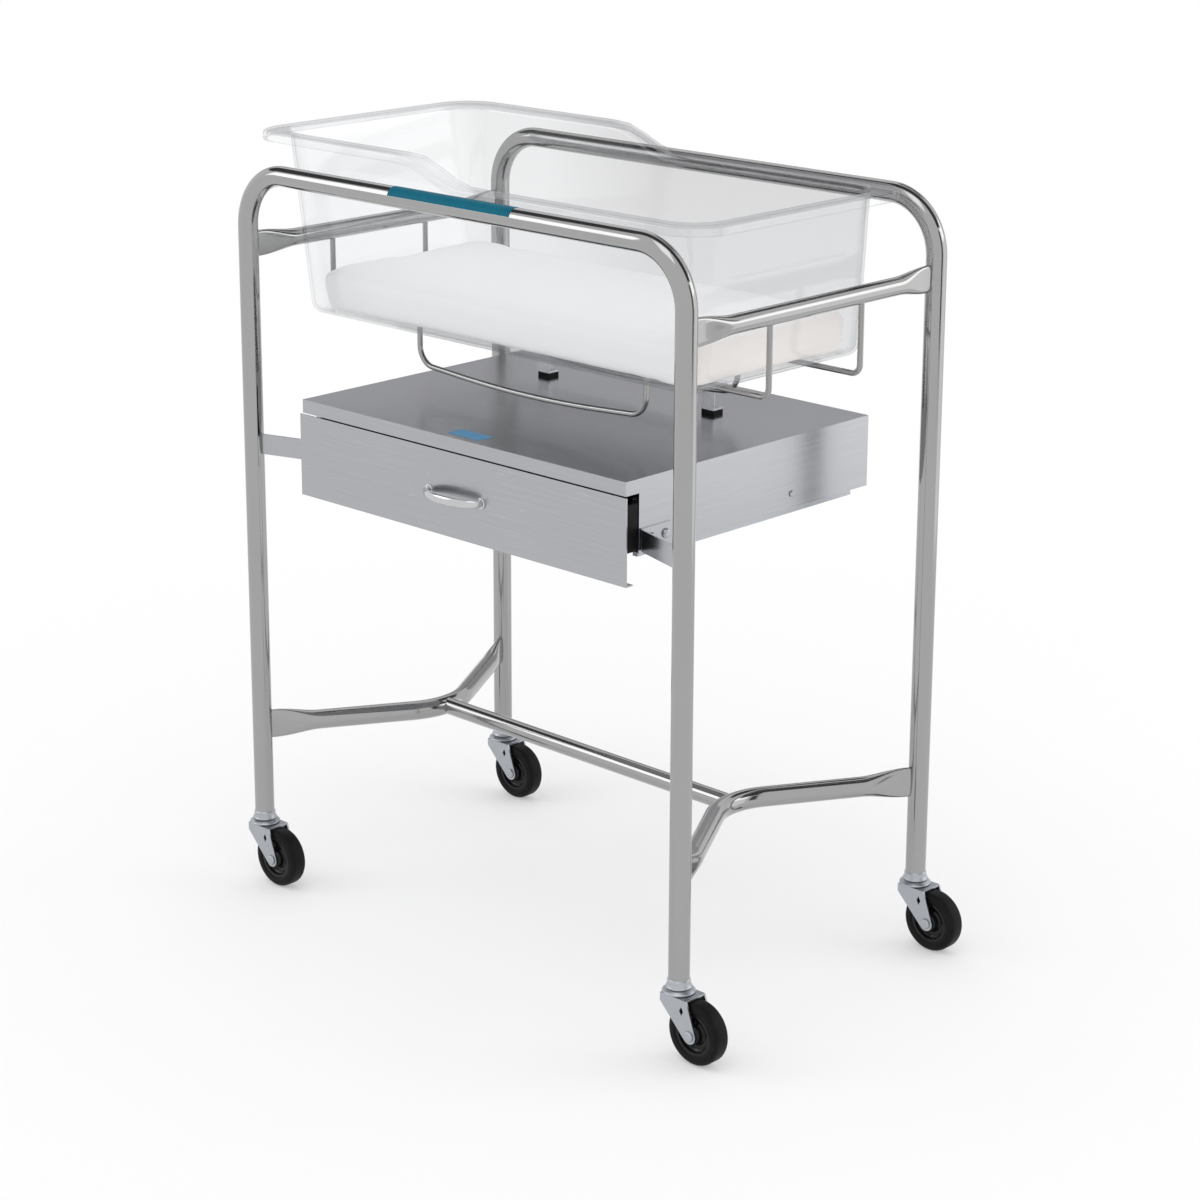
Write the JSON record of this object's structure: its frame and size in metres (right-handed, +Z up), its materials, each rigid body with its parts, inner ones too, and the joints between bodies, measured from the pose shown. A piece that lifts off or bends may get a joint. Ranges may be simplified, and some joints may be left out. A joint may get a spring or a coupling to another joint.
{
  "type": "hospital bassinet",
  "caption": "Newborn bassinet: clear basket with mattress in a wire cradle on a polished tubular trolley with swivel casters, over a steel cabinet with a sliding drawer",
  "frame": {"origin": "on the floor, below the middle of the overall extent", "axes": "+X to the foot end along the length, +Y to the back with the drawer opening to -Y, +Z up"},
  "size_m": [0.839, 0.486, 0.991],
  "materials": {
    "stainless_tube": "polished stainless steel tube and wire",
    "cabinet_sheet": "satin stainless sheet, fine grain along the length",
    "zinc": "bright zinc plated pressings",
    "fasteners": "zinc plated steel",
    "polished_chrome": "mirror chrome plate",
    "black_rubber": "matt black rubber",
    "blue_film": "plain coloured adhesive film",
    "clear_acrylic": "clear moulded acrylic",
    "white_cover": "smooth white coated cover over foam",
    "black_tyre": "smooth black rubber tread",
    "black_core": "black moulded wheel core"
  },
  "bodies": {
    "frame": {"front_frame_tube": "stainless_tube", "rear_frame_tube": "stainless_tube", "left_end_rail": "stainless_tube", "right_end_rail": "stainless_tube", "left_foot_brace": "stainless_tube", "right_foot_brace": "stainless_tube", "stretcher_tube": "stainless_tube", "front_cradle_wire": "stainless_tube", "rear_cradle_wire": "stainless_tube", "front_drop_loop": "stainless_tube", "rear_drop_loop": "stainless_tube", "loop_clips": "stainless_tube", "loop_clip_pads": "black_rubber", "loop_clip_screws": "fasteners", "cabinet_shell": "cabinet_sheet", "cabinet_back": "cabinet_sheet", "left_cabinet_strap": "stainless_tube", "right_cabinet_strap": "stainless_tube", "strap_bolts": "fasteners", "left_slide_channel": "zinc", "right_slide_channel": "zinc", "slide_screws": "fasteners", "rail_label": "blue_film", "top_label": "blue_film", "caster_stems": "zinc", "caster_sleeves": "black_rubber", "caster_collars": "zinc", "caster_races": "zinc", "caster_balls": "fasteners"},
    "drawer": {"drawer_box": "cabinet_sheet", "drawer_front": "cabinet_sheet", "drawer_buffers": "black_rubber", "drawer_pull": "polished_chrome", "drawer_pull_screws": "fasteners", "drawer_front_screws": "fasteners", "left_slide_runner": "zinc", "right_slide_runner": "zinc"},
    "basket": {"basket": "clear_acrylic"},
    "mattress": {"mattress": "white_cover"},
    "front_left_swivel": {"front_left_fork": "zinc", "front_left_axle": "fasteners"},
    "front_left_wheel": {"front_left_tyre": "black_tyre", "front_left_wheel_core": "black_core"},
    "front_right_swivel": {"front_right_fork": "zinc", "front_right_axle": "fasteners"},
    "front_right_wheel": {"front_right_tyre": "black_tyre", "front_right_wheel_core": "black_core"},
    "rear_left_swivel": {"rear_left_fork": "zinc", "rear_left_axle": "fasteners"},
    "rear_left_wheel": {"rear_left_tyre": "black_tyre", "rear_left_wheel_core": "black_core"},
    "rear_right_swivel": {"rear_right_fork": "zinc", "rear_right_axle": "fasteners"},
    "rear_right_wheel": {"rear_right_tyre": "black_tyre", "rear_right_wheel_core": "black_core"}
  },
  "joints": [
    {"name": "drawer_slide", "type": "slide", "parent": "frame", "child": "drawer", "axis": [0, -1, 0], "range_m": [0, 0.26]},
    {"name": "basket_lift", "type": "slide", "parent": "frame", "child": "basket", "axis": [0, 0, 1], "range_m": [0, 0.25]},
    {"name": "mattress_lift", "type": "slide", "parent": "basket", "child": "mattress", "axis": [0, 0, 1], "range_m": [0, 0.25]},
    {"name": "front_left_swivel_turn", "type": "hinge", "parent": "frame", "child": "front_left_swivel", "pos_m": [-0.3875, -0.22, 0.08], "axis": [0, 0, 1], "continuous": true},
    {"name": "front_left_wheel_roll", "type": "hinge", "parent": "front_left_swivel", "child": "front_left_wheel", "pos_m": [-0.3565, -0.22, 0.038], "axis": [0, 1, 0], "continuous": true},
    {"name": "front_right_swivel_turn", "type": "hinge", "parent": "frame", "child": "front_right_swivel", "pos_m": [0.3505, -0.22, 0.08], "axis": [0, 0, 1], "continuous": true},
    {"name": "front_right_wheel_roll", "type": "hinge", "parent": "front_right_swivel", "child": "front_right_wheel", "pos_m": [0.3815, -0.22, 0.038], "axis": [0, 1, 0], "continuous": true},
    {"name": "rear_left_swivel_turn", "type": "hinge", "parent": "frame", "child": "rear_left_swivel", "pos_m": [-0.3875, 0.22, 0.08], "axis": [0, 0, 1], "continuous": true},
    {"name": "rear_left_wheel_roll", "type": "hinge", "parent": "rear_left_swivel", "child": "rear_left_wheel", "pos_m": [-0.3565, 0.22, 0.038], "axis": [0, 1, 0], "continuous": true},
    {"name": "rear_right_swivel_turn", "type": "hinge", "parent": "frame", "child": "rear_right_swivel", "pos_m": [0.3505, 0.22, 0.08], "axis": [0, 0, 1], "continuous": true},
    {"name": "rear_right_wheel_roll", "type": "hinge", "parent": "rear_right_swivel", "child": "rear_right_wheel", "pos_m": [0.3815, 0.22, 0.038], "axis": [0, 1, 0], "continuous": true}
  ]
}
